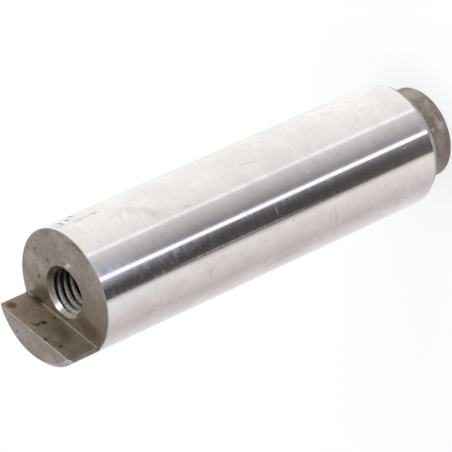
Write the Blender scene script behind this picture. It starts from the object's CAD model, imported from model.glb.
import math

import bmesh
import bpy
from mathutils import Matrix, Vector


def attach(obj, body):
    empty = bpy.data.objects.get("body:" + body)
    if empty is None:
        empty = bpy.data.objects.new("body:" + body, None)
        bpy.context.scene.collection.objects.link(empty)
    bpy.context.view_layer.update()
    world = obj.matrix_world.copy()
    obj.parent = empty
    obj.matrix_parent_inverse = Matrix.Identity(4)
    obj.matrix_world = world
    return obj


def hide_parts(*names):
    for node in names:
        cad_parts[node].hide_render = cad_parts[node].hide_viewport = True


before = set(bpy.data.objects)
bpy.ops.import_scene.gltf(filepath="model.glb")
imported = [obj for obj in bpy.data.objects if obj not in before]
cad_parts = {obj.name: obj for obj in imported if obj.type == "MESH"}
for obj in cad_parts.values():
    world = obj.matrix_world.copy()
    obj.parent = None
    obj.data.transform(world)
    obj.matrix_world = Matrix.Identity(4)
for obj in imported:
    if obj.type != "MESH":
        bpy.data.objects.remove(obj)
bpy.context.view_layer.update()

mm = 0.001
scene = bpy.context.scene
scene.view_settings.view_transform = "Standard"

# Camera: a long lens, three quarters of a metre away, that looks down past the tang's end. It is
# rolled until the pin runs from the lower left of the picture to the upper right.
look_at = Vector((-0.9, 0.8, 51.3)) * mm
camera_distance = 750.2 * mm
view_azimuth = math.radians(-43.42)  # 0 looks along +Y
view_elevation = math.radians(34.44)
view_roll = math.radians(114.47)
lens_length = 316.07  # mm
film_width = 36.0  # mm
forward = Vector((
    -math.sin(view_azimuth) * math.cos(view_elevation),
    math.cos(view_azimuth) * math.cos(view_elevation),
    -math.sin(view_elevation),
))
camera_data = bpy.data.cameras.new("camera")
camera_data.lens = lens_length
camera_data.sensor_width = film_width
camera_data.clip_start = 0.01
camera = bpy.data.objects.new("camera", camera_data)
camera.matrix_world = (
    Matrix.Translation(look_at - forward * camera_distance)
    @ forward.to_track_quat("-Z", "Y").to_matrix().to_4x4()
    @ Matrix.Rotation(-view_roll, 4, "Z")
)
scene.collection.objects.link(camera)
scene.camera = camera

# Pin, the steel blank: a bar turned to an outline and ground on the journal. It is spun here from
# half of that outline, in millimetres, with the spigot's end on the floor.
journal_radius = 12.5
total_length = 96.9
spigot_radius = 9.2
spigot_length = 6.6
spigot_chamfer = 0.4
spigot_root_radius = 0.4
spigot_root_middle = 0.12  # the middle of that radius, in from both its sides
lead_chamfer_length = 1.25
lead_chamfer_depth = 0.75
shoulder_z = 90.1
tang_end_chamfer = 1.0
journal_rings = (30, 60, shoulder_z - 0.6)  # heights at which the long faces are divided
steps_round = 360
seam_weld = 1e-5  # points nearer than this, where a turn closes, are one point


def spun(outline, steps=steps_round):
    """A closed solid turned about Z from points (radius, height) that start and end on the axis."""
    solid = bmesh.new()
    points = [solid.verts.new((radius, 0, height)) for radius, height in outline]
    lines = [solid.edges.new(pair) for pair in zip(points, points[1:])]
    bmesh.ops.spin(
        solid, geom=points + lines, cent=(0, 0, 0), axis=(0, 0, 1),
        angle=math.tau, steps=steps, use_merge=True,
    )
    bmesh.ops.remove_doubles(solid, verts=solid.verts, dist=seam_weld)
    bmesh.ops.recalc_face_normals(solid, faces=solid.faces)
    return solid


def as_object(solid, name):
    """Puts a bmesh into the scene as an object of that name."""
    mesh = bpy.data.meshes.new(name)
    solid.to_mesh(mesh)
    solid.free()
    piece = bpy.data.objects.new(name, mesh)
    scene.collection.objects.link(piece)
    return piece


pin = as_object(spun((
    (0, 0),
    (spigot_radius - spigot_chamfer, 0),
    (spigot_radius, spigot_chamfer),
    (spigot_radius, spigot_length - spigot_root_radius),
    (spigot_radius + spigot_root_middle, spigot_length - spigot_root_middle),
    (spigot_radius + spigot_root_radius, spigot_length),
    (journal_radius - lead_chamfer_depth, spigot_length),
    (journal_radius, spigot_length + lead_chamfer_length),
    *((journal_radius, height) for height in journal_rings),
    (journal_radius, total_length - tang_end_chamfer),
    (journal_radius - tang_end_chamfer, total_length),
    (0, total_length),
)), "pin_dressed")

# Pin, the half-tang: a side mill takes off all beside the flat, down to the shoulder, and leaves
# its corner radius. A file then breaks the sharp edges: the rim, and those round the flat.
tang_flat_offset = 6.3
tang_root_radius = 0.25
tang_end_break = 0.15
tang_edge_break = 0.7
rim_edge_break = 0.15
clear = 2.0  # how far each tool runs out past the steel


def prism(corners, along):
    """A closed solid: the face with these corners, extruded by a vector."""
    solid = bmesh.new()
    face = solid.faces.new([solid.verts.new(corner) for corner in corners])
    moved = bmesh.ops.extrude_face_region(solid, geom=[face])["geom"]
    moved_points = [part for part in moved if isinstance(part, bmesh.types.BMVert)]
    bmesh.ops.translate(solid, vec=along, verts=moved_points)
    bmesh.ops.recalc_face_normals(solid, faces=solid.faces)
    return solid


def cut(piece, tool):
    """Takes a tool's solid out of the piece, for good."""
    tool_object = as_object(tool, "tool")
    boolean = piece.modifiers.new("cut", "BOOLEAN")
    boolean.operation = "DIFFERENCE"
    boolean.solver = "EXACT"
    boolean.object = tool_object
    evaluated = piece.evaluated_get(bpy.context.evaluated_depsgraph_get())
    mesh = bpy.data.meshes.new_from_object(evaluated)
    piece.modifiers.clear()
    piece.data = mesh
    bpy.data.objects.remove(tool_object)


root_arc = [
    (
        tang_flat_offset - tang_root_radius * (1 - math.sin(turn)),
        shoulder_z + tang_root_radius * (1 - math.cos(turn)),
    )
    for turn in (math.radians(degrees) for degrees in range(0, 91, 15))
]
mill_outline = [
    *root_arc,
    (tang_flat_offset, total_length - tang_end_break),
    (tang_flat_offset + tang_end_break, total_length),
    (tang_flat_offset + tang_end_break, total_length + clear),
    (-journal_radius - clear, total_length + clear),
    (-journal_radius - clear, shoulder_z),
]
mill_width = 2 * (journal_radius + clear)
cut(pin, prism([(-mill_width / 2, y, z) for y, z in mill_outline], (mill_width, 0, 0)))

# The rim's file: a turned wedge at 45 degrees, kept on the milled side of the flat alone.
rim_file = spun((
    (journal_radius - rim_edge_break - clear, shoulder_z + clear),
    (journal_radius + clear, shoulder_z - rim_edge_break - clear),
    (journal_radius + clear, shoulder_z + clear),
    (journal_radius - rim_edge_break - clear, shoulder_z + clear),
))
bmesh.ops.bisect_plane(
    rim_file, geom=rim_file.verts[:] + rim_file.edges[:] + rim_file.faces[:],
    plane_co=(0, tang_flat_offset, 0), plane_no=(0, 1, 0), clear_outer=True,
)
bmesh.ops.holes_fill(rim_file, edges=rim_file.edges, sides=0)
bmesh.ops.recalc_face_normals(rim_file, faces=rim_file.faces)
cut(pin, rim_file)

# The flat's two long edges: each wedge goes from the flat to the round back of the tang.
for side in (-1, 1):
    half_width = math.sqrt(journal_radius**2 - tang_flat_offset**2)
    corner = Vector((side * half_width, tang_flat_offset, 0))
    on_flat = corner - Vector((side * tang_edge_break, 0, 0))
    arc_angle = math.asin(tang_flat_offset / journal_radius) + tang_edge_break / journal_radius
    on_arc = Vector((side * math.cos(arc_angle), math.sin(arc_angle), 0)) * journal_radius
    outside = corner + (corner - (on_flat + on_arc) / 2).normalized() * clear
    start = Vector((0, 0, shoulder_z))
    length = Vector((0, 0, total_length - shoulder_z + clear))
    cut(pin, prism([on_flat + start, outside + start, on_arc + start], length))

# Pin, the tapped hole: drilled, countersunk, and tapped M10 x 1.5 for the screw that draws the pin
# out of its bore. The thread is one turn's outline, screwed upwards.
bore_radius = 4.25
countersink_radius = 5.2
hole_depth = 25.0
drill_point = 2.55
thread_radius = 5.0
thread_pitch = 1.5
thread_depth = 20.0
thread_flank = math.radians(30)
mouth_clear = 0.5  # the countersink must not run out into the flat
hole_steps = 180
thread_steps = 90
thread_weld = 0.01  # one turn's top edge and the next one's bottom edge become one
cut(pin, spun((
    (0, shoulder_z + mouth_clear),
    (countersink_radius + mouth_clear, shoulder_z + mouth_clear),
    (bore_radius, shoulder_z - (countersink_radius - bore_radius)),
    (bore_radius, shoulder_z - hole_depth),
    (0, shoulder_z - hole_depth - drill_point),
), hole_steps))


def threaded_rod():
    """The tap's solid: ridges of the true pitch and flanks, cut flat at both ends."""
    flank = (thread_radius - bore_radius) * math.tan(thread_flank)
    root_flat = thread_pitch / 8
    crest_flat = thread_pitch - root_flat - 2 * flank
    outline = (
        (bore_radius, 0),
        (bore_radius, crest_flat),
        (thread_radius, crest_flat + flank),
        (thread_radius, crest_flat + flank + root_flat),
        (bore_radius, thread_pitch),
    )
    turns = math.ceil((thread_depth + 2 * clear) / thread_pitch) + 1
    bottom = shoulder_z - thread_depth
    solid = bmesh.new()
    points = [solid.verts.new((radius, 0, bottom - clear + height)) for radius, height in outline]
    lines = [solid.edges.new(pair) for pair in zip(points, points[1:])]
    bmesh.ops.spin(
        solid, geom=points + lines, cent=(0, 0, 0), axis=(0, 0, 1),
        dvec=(0, 0, thread_pitch / thread_steps),
        angle=math.tau * turns, steps=thread_steps * turns,
    )
    bmesh.ops.remove_doubles(solid, verts=solid.verts, dist=thread_weld)
    for height, outwards in ((bottom, -1), (shoulder_z + clear / 2, 1)):
        bmesh.ops.bisect_plane(
            solid, geom=solid.verts[:] + solid.edges[:] + solid.faces[:],
            plane_co=(0, 0, height), plane_no=(0, 0, outwards), clear_outer=True,
        )
    bmesh.ops.holes_fill(solid, edges=solid.edges, sides=0)
    bmesh.ops.recalc_face_normals(solid, faces=solid.faces)
    return solid


cut(pin, threaded_rod())
cut_weld = 1e-4  # points that the cuts left this near to each other become one
whole = bmesh.new()
whole.from_mesh(pin.data)
bmesh.ops.remove_doubles(whole, verts=whole.verts, dist=cut_weld)
bmesh.ops.recalc_face_normals(whole, faces=whole.faces)
whole.to_mesh(pin.data)
whole.free()
pin.data.transform(Matrix.Scale(mm, 4))
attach(pin, "root")
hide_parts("pin")


# Ground steel, on the journal: a hardened bar finished between centres on a cylindrical grinder.
# The eye gets a mirror drawn out along the pin, by lines that the wheel leaves round it, under the
# clouds that oil and fingers leave.
def linear(code):
    """An sRGB hex colour as linear red, green, blue and an alpha of one."""
    parts = [int(code[i:i + 2], 16) / 255 for i in (1, 3, 5)]
    return [*(p / 12.92 if p <= 0.04045 else ((p + 0.055) / 1.055) ** 2.4 for p in parts), 1.0]


def add(material, kind, settings=None, inputs=None):
    """Adds one node to a material, with its settings, and its inputs as values or links."""
    tree = material.node_tree
    node = tree.nodes.new("ShaderNode" + kind)
    for name, value in (settings or {}).items():
        setattr(node, name, value)
    for name, value in (inputs or {}).items():
        if isinstance(value, bpy.types.NodeSocket):
            tree.links.new(value, node.inputs[name])
        else:
            node.inputs[name].default_value = value
    return node


def empty_material(name):
    """A material with no nodes yet."""
    material = bpy.data.materials.new(name)
    material.use_nodes = True
    material.node_tree.nodes.clear()
    return material


def in_millimetres(material):
    """The place of a point on the pin, in millimetres."""
    place = add(material, "TexCoord").outputs["Object"]
    scaled = add(material, "VectorMath", {"operation": "SCALE"}, {0: place, "Scale": 1 / mm})
    return scaled.outputs[0]


def cloud(material, place, size, detail, low, high, stretch=(1, 1, 1)):
    """Noise with clouds of that size in mm, as 0 below one level and 1 above the other."""
    scale = [1 / (size * s) for s in stretch]
    field = add(material, "VectorMath", {"operation": "MULTIPLY"}, {0: place, 1: scale})
    noise = add(material, "TexNoise", inputs={
        "Vector": field.outputs[0], "Scale": 1.0, "Detail": detail, "Roughness": 0.55,
    })
    return add(material, "MapRange", {"interpolation_type": "SMOOTHSTEP"}, {
        "Value": noise.outputs[0], "From Min": low, "From Max": high,
    }).outputs[0]


def layer(material, below, above, mask, amount=1.0):
    """Lays a colour over another, as far as a mask and an amount say."""
    share = add(material, "Math", {"operation": "MULTIPLY"}, {0: mask, 1: amount})
    mix = add(material, "Mix", {"data_type": "RGBA"}, {0: share.outputs[0], 6: below, 7: above})
    return mix.outputs[2]


def marks(material, place, ovals):
    """A mask of ovals that fade at the edge: centre and reach in mm, turn, strength."""
    total = None
    for centre, reach, turn, strength in ovals:
        oval = add(material, "Mapping", {"vector_type": "TEXTURE"}, {
            "Vector": place, "Location": centre, "Scale": reach,
            "Rotation": [math.radians(a) for a in turn],
        })
        distance = add(material, "VectorMath", {"operation": "LENGTH"}, {0: oval.outputs[0]})
        mask = add(material, "MapRange", {"interpolation_type": "SMOOTHSTEP"}, {
            "Value": distance.outputs["Value"], "From Min": 1.0, "From Max": 0.3,
            "To Min": 0.0, "To Max": strength,
        }).outputs[0]
        if total is not None:
            mask = add(material, "Math", {"operation": "MAXIMUM"}, {0: total, 1: mask}).outputs[0]
        total = mask
    return total


def ragged(material, place, size, amount):
    """A place shaken by noise, both in mm, so that what is drawn on it gets a ragged edge."""
    noise = add(material, "TexNoise", inputs={"Vector": place, "Scale": 1 / size, "Detail": 3.0})
    shake = add(material, "VectorMath", {"operation": "MULTIPLY_ADD"}, {
        0: noise.outputs["Color"], 1: [2 * amount] * 3, 2: [-amount] * 3,
    })
    moved = add(material, "VectorMath", {"operation": "ADD"}, {0: place, 1: shake.outputs[0]})
    return moved.outputs[0]


def on_level(height, depth, rows):
    """Ovals on a level surface: the rows have x, y, the reach in x and y, a turn and a strength."""
    return [
        ((x, y, height), (reach_x, reach_y, depth), (0, 0, turn), strength)
        for x, y, reach_x, reach_y, turn, strength in rows
    ]


ground = empty_material("ground_steel")
place = in_millimetres(ground)

# The journal unrolled: X is mm round it from its front, which is fixed on the steel, and Y is mm up.
front = math.degrees(math.atan2(-forward.y, -forward.x))  # degrees from +X
turned_round = add(ground, "Mapping", inputs={
    "Vector": place, "Rotation": (0, 0, math.radians(-front)),
}).outputs[0]
axes = add(ground, "SeparateXYZ", inputs={0: turned_round})
angle = add(ground, "Math", {"operation": "ARCTAN2"}, {0: axes.outputs["Y"], 1: axes.outputs["X"]})
arc = add(ground, "Math", {"operation": "MULTIPLY"}, {0: angle.outputs[0], 1: journal_radius})
unrolled = add(ground, "CombineXYZ", inputs={
    "X": arc.outputs[0], "Y": axes.outputs["Z"],
}).outputs[0]
smeared = ragged(ground, unrolled, 1.0, 0.7)
scratched = ragged(ground, unrolled, 1.5, 0.12)

polished = linear("#EFEDEC")
clouded = linear("#E7E4E2")
smudged = linear("#D6D0CE")
line_shade = linear("#CFC8C5")
finger_cloud = 7.0  # mm, about half a fingertip
smudge = 1.8  # mm
wheel_line = 0.45  # mm: a real line is a tenth of that, and would not show
clouds = cloud(ground, place, finger_cloud, 4.0, 0.35, 0.65)
smudges = cloud(ground, place, smudge, 4.0, 0.5, 0.72)
wheel_lines = cloud(ground, place, wheel_line, 2.0, 0.35, 0.7, stretch=(40, 40, 1))
colour = layer(ground, polished, clouded, clouds)
colour = layer(ground, colour, smudged, smudges, 0.3)
colour = layer(ground, colour, line_shade, wheel_lines, 0.06)

# Grease left by fingers, and the streaks that a rag wiped clean again.
through = 9  # mm: how deep an oval goes into the unrolled journal, which lies flat
grease = on_level(0, through, (
    # mm round, mm up, the reach round and up, turn, strength
    (9.6, 75.2, 2.4, 1.6, 30, 0.18),
    (7.4, 72.6, 3.0, 1.5, 30, 0.2),
    (-11.0, 80.1, 1.3, 0.45, 20, 0.24),
    (-10.7, 79.2, 1.4, 0.45, 20, 0.24),
    (-10.2, 78.3, 1.3, 0.45, 20, 0.2),
    (-9.8, 77.5, 1.1, 0.45, 20, 0.17),
    (-8.2, 65.3, 1.0, 1.4, 20, 0.18),
    (-8.2, 72.5, 1.6, 2.6, 10, 0.14),
    (14.6, 88.6, 2.8, 1.6, 0, 0.3),
    (13.6, 85.4, 1.4, 2.2, 0, 0.25),
    (-18.2, 89.4, 3.5, 1.4, 0, 0.35),
    (-13.6, 46.0, 1.3, 6.0, 4, 0.2),
))
wiped = on_level(0, through, (
    (8.5, 77.4, 2.8, 0.7, -32, 0.6),
    (12.5, 86.0, 2.2, 1.0, 20, 0.5),
))
colour = layer(ground, colour, linear("#A39894"), marks(ground, smeared, grease))
colour = layer(ground, colour, linear("#F8F5F2"), marks(ground, smeared, wiped))

# Dark knocks near the rim and fine scratches along the pin, then bright ones with metal bared.
scratches = on_level(0, through, (
    (15.1, 87.5, 1.2, 0.35, 0, 1.0),
    (15.6, 85.8, 0.8, 0.6, 0, 1.0),
    (17.0, 84.0, 1.2, 0.6, 0, 1.0),
    (16.6, 87.5, 2.2, 0.2, 0, 0.5),
    (13.5, 82.6, 0.3, 2.8, 0, 0.3),
    (13.5, 81.0, 0.35, 1.2, 0, 0.5),
    (5.3, 65.2, 0.4, 1.1, 0, 0.18),
    (8.4, 47.6, 0.2, 3.0, -8, 0.2),
    (9.1, 17.3, 0.2, 2.9, 4, 0.15),
    (2.1, 73.7, 0.35, 0.35, 0, 0.15),
    (-8.5, 33.8, 4.2, 0.35, 8, 0.12),
    (-8.0, 30.9, 2.4, 0.35, -10, 0.07),
    (-5.6, 44.5, 0.35, 0.35, 0, 0.25),
))
glints = on_level(0, through, (
    (-1.8, 14.5, 0.22, 0.25, 0, 0.8),
    (1.8, 37.7, 0.4, 0.4, 0, 0.4),
    (-2.8, 47.7, 1.4, 0.15, 0, 0.3),
    (0.2, 8.6, 1.2, 1.2, 0, 0.2),
    (-4.35, 56.5, 0.24, 28.0, 0, 0.22),
))
colour = layer(ground, colour, linear("#5A514D"), marks(ground, scratched, scratches))
shine = marks(ground, scratched, glints)
colour = layer(ground, colour, linear("#FFFFFF"), shine)

# Coolant has dried to a bluish film towards the shoulder. The polish is blind in specks there.
dried_coolant = linear("#E8EBF3")
speck = 0.45  # mm up the pin, and five times that round it
film = on_level(0, through, (
    (0.2, 87.5, 2.6, 8.5, 0, 0.8),
    (-1.6, 76.0, 2.2, 16.0, 0, 0.22),
    (-1.2, 48.0, 2.2, 11.0, 0, 0.25),
))
clear_film = on_level(0, through, ((-5.8, 84.5, 2.4, 9.0, 0, 0.6),))  # dried without specks
filmed = marks(ground, smeared, film)
colour = layer(ground, colour, dried_coolant, filmed)
colour = layer(ground, colour, dried_coolant, marks(ground, smeared, clear_film))
specks = cloud(ground, place, speck, 3.0, 0.42, 0.72, stretch=(5, 5, 1))
blind = add(ground, "Math", {"operation": "MULTIPLY"}, {0: specks, 1: filmed}).outputs[0]

# The polish is roughest where metal is bared, then in the blind specks.
polish_roughness = 0.13
rough = polish_roughness
for cause, added in ((smudges, 0.06), (shine, 0.5), (specks, 0.05), (blind, 0.25)):
    rough = add(ground, "Math", {"operation": "MULTIPLY_ADD"}, {
        0: cause, 1: added, 2: rough,
    }).outputs[0]
scored = add(ground, "Bump", inputs={
    "Strength": 0.1, "Distance": 0.002 * mm, "Height": wheel_lines,
})
shader = add(ground, "BsdfPrincipled", inputs={
    "Base Color": colour,
    "Metallic": 1.0,
    "Roughness": rough,
    "Anisotropic": 0.9,
    "Anisotropic Rotation": 0.25,
    "Tangent": add(ground, "Tangent", {"direction_type": "RADIAL", "axis": "Z"}).outputs[0],
    "Normal": scored.outputs[0],
})
add(ground, "OutputMaterial", inputs={"Surface": shader.outputs[0]})


# Oiled steel, on the shoulder, the tang's flat and its end: cut dull, oiled, and stained where the
# oil has dried. The eye gets an olive grey with brown clouds, pits, and a first spot of rust.
def oiled_steel(name, shades, roughness, stains, pits):
    """Dull cut steel under old oil: six shades in clouds, then its own stains and pits."""
    steel = empty_material(name)
    clean, browned, dirty, pale, olive, rosy = (linear(shade) for shade in shades)
    place = in_millimetres(steel)
    uneven = ragged(steel, place, 2.5, 0.8)
    mottles = (
        # shade, place, size of the clouds in mm, their detail, noise at 0 and at 1, amount
        (browned, uneven, 6.0, 3.0, 0.38, 0.62, 1.0),
        (browned, place, 2.2, 4.0, 0.48, 0.72, 0.7),
        (olive, uneven, 1.7, 3.0, 0.48, 0.68, 0.45),
        (rosy, place, 2.6, 3.0, 0.5, 0.7, 0.4),
        (pale, uneven, 3.0, 4.0, 0.55, 0.75, 0.45),
        (pale, place, 0.9, 3.0, 0.45, 0.75, 0.3),
        (dirty, place, 0.6, 3.0, 0.42, 0.75, 0.5),
        (pale, place, 0.4, 2.0, 0.5, 0.8, 0.35),
    )
    colour = clean
    for shade, where, size, detail, low, high, amount in mottles:
        colour = layer(steel, colour, shade, cloud(steel, where, size, detail, low, high), amount)
    for shade, size, shake, amount, ovals in stains:
        mask = marks(steel, ragged(steel, place, size, shake), ovals)
        colour = layer(steel, colour, linear(shade), mask, amount)
    pitted = marks(steel, ragged(steel, place, 0.7, 0.3), pits)
    colour = layer(steel, colour, linear("#33291D"), pitted, 0.9)
    cutter_marks = 0.35  # mm: the tool's own are finer, and would not show
    grain = cloud(steel, place, cutter_marks, 3.0, 0.3, 0.7)
    rough = add(steel, "MapRange", inputs={
        "Value": cloud(steel, place, 3.0, 3.0, 0.35, 0.65),
        "To Min": roughness - 0.06, "To Max": roughness + 0.06,
    })
    height = add(steel, "Math", {"operation": "MULTIPLY_ADD"}, {0: pitted, 1: -6.0, 2: grain})
    cuts = add(steel, "Bump", inputs={
        "Strength": 0.5, "Distance": 0.006 * mm, "Height": height.outputs[0],
    })
    shader = add(steel, "BsdfPrincipled", inputs={
        "Base Color": colour, "Metallic": 1.0, "Roughness": rough.outputs[0],
        "Normal": cuts.outputs[0],
    })
    add(steel, "OutputMaterial", inputs={"Surface": shader.outputs[0]})
    return steel


# The shoulder and the tang's end: faces cut square across the pin.
stain_depth = 3  # mm: how far into the steel the ovals of a stain reach
pit_depth = 2
face_stains = (
    # shade, the size and shake of its ragged edge in mm, amount, its ovals
    ("#63543F", 2.5, 0.8, 0.7, on_level(shoulder_z, stain_depth, (
        (6.6, -9.6, 1.8, 2.4, -40, 0.5),
        (4.2, -8.6, 1.6, 1.2, 0, 0.45),
        (-2.4, -11.6, 2.2, 0.5, 0, 0.6),
        (6.0, 3.8, 3.8, 1.8, 0, 0.7),
        (-7.4, 3.6, 5.0, 2.6, 0, 0.85),
    ))),
    ("#564E45", 2.0, 0.4, 0.75, on_level(shoulder_z, stain_depth, (
        (-2.2, -12.1, 3.2, 0.8, -12, 0.8),
    ))),
    ("#C9C3C0", 0.5, 0.5, 0.8, on_level(shoulder_z, stain_depth, (
        (-0.3, -6.2, 1.3, 0.5, 50, 0.9),
    ))),
    ("#A9A19F", 2.5, 0.8, 0.6, (
        *on_level(shoulder_z, stain_depth, ((10.3, -1.6, 1.7, 2.6, 0, 0.7),)),
        *on_level(total_length, stain_depth, (
            (5.5, 8.8, 6.0, 3.0, 0, 0.8),
            (-5.0, 9.5, 3.5, 2.0, 0, 0.6),
        )),
    )),
    ("#33211B", 1.0, 0.2, 0.85, on_level(shoulder_z + 0.1, 0.5, (  # dirt in the tang's corner
        (7.0, 6.2, 2.3, 0.7, 0, 1.0),
    ))),
)
face_pits = (
    *on_level(shoulder_z, pit_depth, (
        (9.2, -6.1, 0.35, 0.4, 0, 0.6),
        (9.2, -4.3, 0.6, 0.4, 0, 0.6),
        (5.2, -4.0, 0.5, 0.6, 0, 0.6),
        (7.4, 0.8, 0.5, 0.8, 0, 0.7),
        (0.4, -11.2, 0.4, 0.3, 0, 0.5),
    )),
    *on_level(total_length, pit_depth, (
        (4.6, 9.1, 0.5, 0.6, 0, 0.6),
        (1.3, 9.8, 0.4, 0.4, 0, 0.6),
        (6.9, 7.6, 0.4, 0.4, 0, 0.5),
    )),
)
face_shades = ("#958D86", "#857B6E", "#6B6153", "#A49C97", "#85806A", "#8F7F77")
faced = oiled_steel("faced_steel", face_shades, 0.42, face_stains, face_pits)


def on_flat(depth, rows):
    """Ovals on the tang's flat: the rows have x, z, the reach in x and z, a turn and a strength."""
    return [
        ((x, tang_flat_offset, z), (reach_x, depth, reach_z), (0, turn, 0), strength)
        for x, z, reach_x, reach_z, turn, strength in rows
    ]


# The flat, milled: it browned most, has the rust, and a short crack of pits in its middle.
flat_stains = (
    ("#5E4C36", 2.5, 0.6, 0.6, on_flat(stain_depth, (
        (6.8, 90.7, 3.4, 1.2, 0, 0.8),
        (-3.0, 90.7, 5.0, 1.0, 0, 0.45),
        (9.0, 95.5, 7.5, 5.5, 0, 0.75),
    ))),
    ("#50352C", 0.8, 0.25, 0.9, on_flat(stain_depth, (  # rust
        (8.5, 95.2, 1.6, 1.35, 0, 0.9),
        (7.2, 90.5, 2.2, 0.4, 0, 0.9),
    ))),
    ("#E8E2DC", 0.8, 0.1, 1.0, on_flat(stain_depth, (  # a bare speck
        (-5.1, 90.9, 0.22, 0.25, 0, 1.0),
    ))),
)
flat_pits = on_flat(pit_depth, (
    # x, z, the reach in x and z, turn, strength
    (2.2, 95.5, 0.5, 0.3, -15, 0.6),
    (1.7, 95.2, 0.7, 0.4, -15, 0.9),
    (1.1, 95.0, 0.5, 0.35, -30, 0.9),
    (1.4, 94.8, 0.35, 0.6, 0, 0.9),
    (1.5, 94.2, 0.35, 0.6, 0, 1.0),
    (1.15, 93.5, 0.95, 0.7, -27, 1.0),
    (-2.9, 96.3, 0.65, 0.4, 0, 0.9),
    (-6.1, 95.4, 0.6, 0.5, 0, 1.0),
    (1.1, 91.0, 0.6, 0.4, 0, 0.9),
    (-8.1, 96.5, 0.4, 0.35, 0, 0.8),
))
flat_shades = ("#B7AC9B", "#A69A89", "#8F826E", "#BDB3A4", "#9E9A7E", "#AE9888")
milled = oiled_steel("milled_steel", flat_shades, 0.46, flat_stains, flat_pits)

# Turned steel, on the spigot: left as the lathe made it. The eye gets a satin grey with fine rings,
# browned by oil in patches, rubbed bright where it goes into its bore, and dark in its corner.
turned = empty_material("turned_steel")
place = in_millimetres(turned)
as_turned = linear("#9B9088")
oil_browned = linear("#84786F")
oil_spots = linear("#6A5F56")
ring_shade = linear("#70655C")
feed = 0.3  # mm: the lathe's feed is 0.2, drawn a little coarser so that it shows
feed_lines = cloud(turned, place, feed, 1.0, 0.35, 0.65, stretch=(60, 60, 1))
uneven = ragged(turned, place, 0.9, 1.0)
colour = layer(turned, as_turned, oil_browned, cloud(turned, place, 4.0, 3.0, 0.38, 0.62))
colour = layer(turned, colour, oil_spots, cloud(turned, place, 0.9, 3.0, 0.52, 0.75), 0.6)
colour = layer(turned, colour, ring_shade, feed_lines, 0.25)
worn = (
    # centre, reach, turn, strength
    ((1.6, -9.1, 2.0), (3.2, 2.5, 4.5), (0, 0, 0), 0.85),
    ((-2.4, -8.8, 1.9), (1.3, 1.2, 0.4), (0, 25, 0), 0.7),
    ((-5.4, -7.4, 2.0), (1.6, 1.6, 0.35), (0, 0, 0), 0.5),
    ((-6.7, -6.3, 1.9), (1.6, 1.6, 1.1), (0, 0, 0), 0.8),
    ((-6.9, -6.1, 4.0), (0.5, 0.5, 0.3), (0, 0, 0), 1.0),
)
dark = (
    ((-7.0, -6.0, 4.7), (0.6, 0.6, 0.35), (0, 0, 0), 1.0),
    ((-9.1, 1.0, 4.6), (2.0, 3.5, 0.8), (0, 0, 0), 0.7),
    ((-0.4, -9.2, 0.0), (7.0, 3.5, 0.9), (0, 0, 0), 1.0),
)
colour = layer(turned, colour, linear("#CFC6C0"), marks(turned, uneven, worn), 0.55)
colour = layer(turned, colour, linear("#4E4744"), marks(turned, uneven, dark), 0.8)
shader = add(turned, "BsdfPrincipled", inputs={
    "Base Color": colour,
    "Metallic": 1.0,
    "Roughness": 0.42,
    "Anisotropic": 0.4,
    "Anisotropic Rotation": 0.25,
    "Tangent": add(turned, "Tangent", {"direction_type": "RADIAL", "axis": "Z"}).outputs[0],
    "Normal": add(turned, "Bump", inputs={
        "Strength": 0.4, "Distance": 0.01 * mm, "Height": feed_lines,
    }).outputs[0],
})
add(turned, "OutputMaterial", inputs={"Surface": shader.outputs[0]})


# Chamfered steel, on the journal's lead and the tang's end: cut last, so it is still clean and has
# a bluish satin shine. Filed steel, on the tang's back and its edges, is duller from file and oil.
def stroked_steel(name, shades, stroke_width, stroke_amount):
    """Clean steel, mottled, with strokes of that width in mm along the pin."""
    steel = empty_material(name)
    clean, mottled, stroked = (linear(shade) for shade in shades)
    place = in_millimetres(steel)
    strokes = cloud(steel, place, stroke_width, 2.0, 0.35, 0.7, stretch=(1, 1, 12))
    colour = layer(steel, clean, mottled, cloud(steel, place, 2.0, 3.0, 0.4, 0.65))
    colour = layer(steel, colour, stroked, strokes, stroke_amount)
    shader = add(steel, "BsdfPrincipled", inputs={
        "Base Color": colour, "Metallic": 1.0, "Roughness": 0.5,
    })
    add(steel, "OutputMaterial", inputs={"Surface": shader.outputs[0]})
    return steel


chamfered = stroked_steel("chamfered_steel", ("#BDB7BA", "#A59D9C", "#8E8582"), 0.5, 0.4)
filed = stroked_steel("filed_steel", ("#A9A19D", "#958B86", "#857B74"), 0.4, 0.5)

# Countersunk steel: the drill's cone at the hole's mouth, cut smooth, so that it catches the light
# as one bright ring. It is brown where oil has run down it.
countersunk = empty_material("countersunk_steel")
place = in_millimetres(countersunk)
mottle = cloud(countersunk, place, 1.0, 3.0, 0.4, 0.65)
oil_run = (
    ((5.0, -0.4, 89.6), (3.2, 6.2, 2), (0, 0, 0), 1.0),
)
oil_mask = marks(countersunk, ragged(countersunk, place, 1.5, 0.5), oil_run)
colour = layer(countersunk, linear("#A29990"), linear("#8A8077"), mottle)
colour = layer(countersunk, colour, linear("#5A5146"), oil_mask, 0.8)
shader = add(countersunk, "BsdfPrincipled", inputs={
    "Base Color": colour, "Metallic": 1.0, "Roughness": 0.28,
})
add(countersunk, "OutputMaterial", inputs={"Surface": shader.outputs[0]})

# Tapped steel: torn a little by the tap, with cutting oil and fine chips left in the grooves, so
# that the crests shine dully and the grooves are black.
tapped = empty_material("tapped_steel")
place = in_millimetres(tapped)
oily_dirt = linear("#1B1511")
torn = cloud(tapped, place, 0.3, 3.0, 0.4, 0.65)
colour = layer(tapped, linear("#C9C2BA"), linear("#8B8278"), torn)

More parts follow.
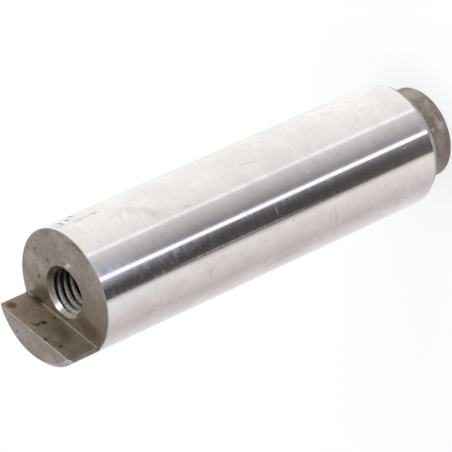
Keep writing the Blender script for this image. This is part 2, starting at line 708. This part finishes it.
# The dirt is thinner on one side of the hole: there more of each ridge is clean.
dirt_edge = 0.22  # mm, outwards, over which the dirt goes from none to all
across = add(tapped, "VectorMath", {"operation": "MULTIPLY"}, {0: place, 1: (1, 1, 0)})
from_axis = add(tapped, "VectorMath", {"operation": "LENGTH"}, {0: across.outputs[0]})
clean_side = add(tapped, "VectorMath", {"operation": "DOT_PRODUCT"}, {
    0: place, 1: (-0.73, 0.69, 0),
})
clean_height = add(tapped, "MapRange", {"interpolation_type": "SMOOTHSTEP"}, {
    "Value": clean_side.outputs["Value"], "From Min": -3.0, "From Max": 4.0,
    "To Min": -0.02, "To Max": 0.58,
})
buried = add(tapped, "Math", {"operation": "SUBTRACT"}, {
    0: from_axis.outputs["Value"], 1: clean_height.outputs[0],
})
groove = add(tapped, "MapRange", {"interpolation_type": "SMOOTHSTEP"}, {
    "Value": buried.outputs[0], "From Min": bore_radius, "From Max": bore_radius + dirt_edge,
}).outputs[0]
oil_pool = (
    ((4.3, -0.8, 86.0), (3.2, 3.6, 7.5), (0, 0, 0), 1.0),
)
pooled = marks(tapped, ragged(tapped, place, 1.5, 0.4), oil_pool)
colour = layer(tapped, colour, oily_dirt, groove, 0.95)
colour = layer(tapped, colour, oily_dirt, pooled, 0.78)
shader = add(tapped, "BsdfPrincipled", inputs={
    "Base Color": colour,
    "Metallic": 0.6,  # oil covers the rest
    "Roughness": 0.5,
    "Normal": add(tapped, "Bump", inputs={
        "Strength": 0.4, "Distance": 0.01 * mm, "Height": torn,
    }).outputs[0],
})
add(tapped, "OutputMaterial", inputs={"Surface": shader.outputs[0]})

# Pin, which finish goes where: each face is told by its height, its distance from the axis and the
# way it looks. The shading is smooth but for real edges.
finishes = {
    "ground": ground, "faced": faced, "milled": milled, "turned": turned,
    "chamfered": chamfered, "countersunk": countersunk, "tapped": tapped, "filed": filed,
}
hair = 0.01  # mm, less than any edge is high
cone_slack = 0.15  # mm that a face's centre may lie off the countersink's cone
square = 0.99  # the cosine past which a face looks straight along an axis
sideways = 0.01  # the cosine below which it looks straight across one
real_edge = math.radians(25)  # faces that meet more sharply than this have an edge between them


def finish_of(face):
    """The finish of a face of the pin, from where the face is and which way it looks."""
    centre = face.center / mm
    normal = face.normal
    radius = math.hypot(centre.x, centre.y)
    outwards = (normal.x * centre.x + normal.y * centre.y) / max(radius, 1e-6)
    hole_bottom = shoulder_z - hole_depth - 2 * drill_point
    if radius < countersink_radius and hole_bottom < centre.z < shoulder_z - hair:
        off_cone = abs(radius - (countersink_radius - shoulder_z + centre.z))
        return "countersunk" if off_cone < cone_slack and outwards < -0.6 else "tapped"
    if normal.z > square:
        return "faced"
    if normal.y < -square and centre.y > 0:
        return "milled"
    if centre.z < spigot_length - hair:
        return "turned"
    if centre.z < spigot_length + lead_chamfer_length - hair:
        return "chamfered"
    if centre.z < shoulder_z - rim_edge_break - hair / 10:
        return "ground"
    if centre.z < shoulder_z - hair and radius > journal_radius - rim_edge_break:
        return "filed"
    in_root = normal.z > 0.1 or normal.y < 0 and abs(normal.x) < sideways  # the tang's root radius
    if centre.z < shoulder_z + 4 * tang_root_radius and in_root:
        return "faced"
    on_end = centre.z > total_length - tang_end_chamfer and normal.z > 0.5
    return "chamfered" if on_end and normal.y > 0 else "filed"


order = list(finishes)
for material in finishes.values():
    pin.data.materials.append(material)
for face in pin.data.polygons:
    face.material_index = order.index(finish_of(face))
    face.use_smooth = True
pin.data.set_sharp_from_angle(angle=real_edge)

# Table: one plain, pale, matt sheet, wide enough to run past every view. The lens and the polish
# see it white, but for the pin's soft shadow, and all other light sees the pale sheet itself.
floor_reach = 4.0  # metres from the middle to each side
white_amount = 0.75  # the rest is the lit sheet, with the shadow
floor_solid = bmesh.new()
bmesh.ops.create_grid(floor_solid, x_segments=1, y_segments=1, size=floor_reach)
floor = as_object(floor_solid, "floor")
paper = empty_material("pale_table")
seen_by = add(paper, "LightPath").outputs
seen = add(paper, "Math", {"operation": "MAXIMUM"}, {
    0: seen_by["Is Camera Ray"], 1: seen_by["Is Glossy Ray"],
})
white_share = add(paper, "Math", {"operation": "MULTIPLY"}, {0: seen.outputs[0], 1: white_amount})
sheet = add(paper, "BsdfDiffuse", inputs={"Color": linear("#F4F4F4")})
white = add(paper, "Emission", inputs={"Color": linear("#FFFFFF"), "Strength": 1.0})
both = add(paper, "MixShader", inputs={
    0: white_share.outputs[0], 1: sheet.outputs[0], 2: white.outputs[0],
})
add(paper, "OutputMaterial", inputs={"Surface": both.outputs[0]})
floor.data.materials.append(paper)

# Reflector cards on the table round the pin, seen only in its polish. Each is bounded by two rays
# that the journal throws down, and is known by the angle on the journal where those rays start.
camera_side = Vector((-forward.x, -forward.y, 0)).normalized()
picture_low = Vector((camera_side.y, -camera_side.x, 0))
cards = (
    # from, to: degrees round the journal; its tint; the brightness of its two edges
    (0, 12, "#FBF8FD", 0.82, 0.88),  # a lavender card
    (12, 24, "#FDF7FC", 0.88, 0.75),  # the table, which is greyest in the middle
    (24, 37, "#FFF7F5", 0.74, 0.6),
    (37, 50, "#FFF7F7", 0.6, 0.747),
    (50, 64.4, "#FFFAF9", 0.747, 0.91),
    (64.4, 68.2, "#FFF9F9", 0.9, 0.48),  # a black flag, and its soft edges
    (68.2, 76, "#FFF0ED", 0.08, 0.066),
    (76, 80, "#FAF3FF", 0.066, 0.105),
    (80, 85.3, "#FAF3FF", 0.105, 0.28),
    (85.4, 88.5, "#F5F5FF", 1.48, 1.38),  # a strip light, and its edge
    (88.6, 91, "#F3EFFF", 0.5, 0.32),
    (91, 109, "#FFF9FC", 0.3, 0.78),  # a grey card
    (109, 112, "#FDFBFF", 1.2, 1.0),  # the bright edge of a white card
    (112, 132, "#FFFDFB", 0.88, 1.03),  # that card
    (132, 160, "#FFFEFD", 1.02, 1.09),
    (160, 180, "#FDFFFF", 1.09, 0.92),
)
card_slice = 1.5  # degrees
card_height = 0.0002  # metres above the table

# Close to the pin all cards are a little brighter. Far out the strip light has a bluish glow, and
# between the two the flag takes a little of that glow away.
card_rings = (
    # metres from the journal, share of the lift, share of the glow
    (0.0055, 1, 0), (0.045, 0, 0), (0.08, 0, -0.2), (0.12, 0, -0.2), (0.14, 0, 1), (0.4, 0, 1),
)
near_lift = 0.06
glow_tint = "#E9EBFF"
glow_peak = 0.45
glow_angle = 84.5  # degrees round the journal, as are the next two
glow_below = 7.5
glow_above = 16.0


def card_shade(degrees, tint, brightness, lift_share, glow_share):
    """The colour of a card's point, from its angle and its shares of the lift and the glow."""
    reach = glow_below if degrees < glow_angle else glow_above
    glow = glow_share * glow_peak * max(0, 1 - abs(degrees - glow_angle) / reach)
    plain = brightness + lift_share * near_lift
    pairs = zip(linear(tint)[:3], linear(glow_tint)[:3])
    return [*(own * plain + blue * glow for own, blue in pairs), 1.0]


card_solid = bmesh.new()
shades = card_solid.loops.layers.float_color.new("card_shade")
for start, end, tint, first, last in cards:
    slices = max(1, round((end - start) / card_slice))
    rays = []
    for step in range(slices + 1):
        degrees = start + (end - start) * step / slices
        brightness = first + (last - first) * step / slices
        turn = math.radians(degrees)
        flight = 2 * turn - math.pi / 2
        ray = picture_low * math.cos(flight) + camera_side * math.sin(flight)
        foot = picture_low * math.cos(turn) + camera_side * math.sin(turn)
        foot = foot * journal_radius * mm
        rays.append([
            (foot + ray * distance, card_shade(degrees, tint, brightness, lift_share, glow_share))
            for distance, lift_share, glow_share in card_rings
        ])
    for ray_a, ray_b in zip(rays, rays[1:]):
        for near_a, far_a, far_b, near_b in zip(ray_a, ray_a[1:], ray_b[1:], ray_b):
            corners = (near_a, far_a, far_b, near_b)
            face = card_solid.faces.new([card_solid.verts.new(point) for point, shade in corners])
            for loop, (point, shade) in zip(face.loops, corners):
                loop[shades] = shade
bmesh.ops.translate(card_solid, vec=(0, 0, card_height), verts=card_solid.verts)
reflectors = as_object(card_solid, "reflector_cards")
lit_card = empty_material("reflector_card")
tone = add(lit_card, "Attribute", {"attribute_name": "card_shade"})
light = add(lit_card, "Emission", inputs={"Color": tone.outputs["Color"], "Strength": 1.0})
add(lit_card, "OutputMaterial", inputs={"Surface": light.outputs[0]})
reflectors.data.materials.append(lit_card)
reflectors.visible_camera = False
reflectors.visible_diffuse = False
reflectors.visible_shadow = False

# Light: a white tent all round gives the soft daylight. One small, slightly blue soft box, a metre
# from the hole and above it, glints in the countersink.
world = bpy.data.worlds.new("tent")
world.use_nodes = True
tent = world.node_tree.nodes["Background"].inputs
tent["Color"].default_value = (1, 1, 1, 1)
tent["Strength"].default_value = 1.0
scene.world = world

soft_box = bpy.data.lights.new("soft_box", "AREA")
soft_box.shape = "SQUARE"
soft_box.size = 0.3
soft_box.energy = 2.5
soft_box.color = linear("#DDE6F5")[:3]
hole_mouth = Vector((0, 0, shoulder_z * mm))
box_place = Vector((0.115, -0.644, 0.757)) + hole_mouth
soft_box_object = bpy.data.objects.new("soft_box", soft_box)
soft_box_object.matrix_world = (
    Matrix.Translation(box_place)
    @ (box_place - hole_mouth).to_track_quat("Z", "Y").to_matrix().to_4x4()
)
scene.collection.objects.link(soft_box_object)
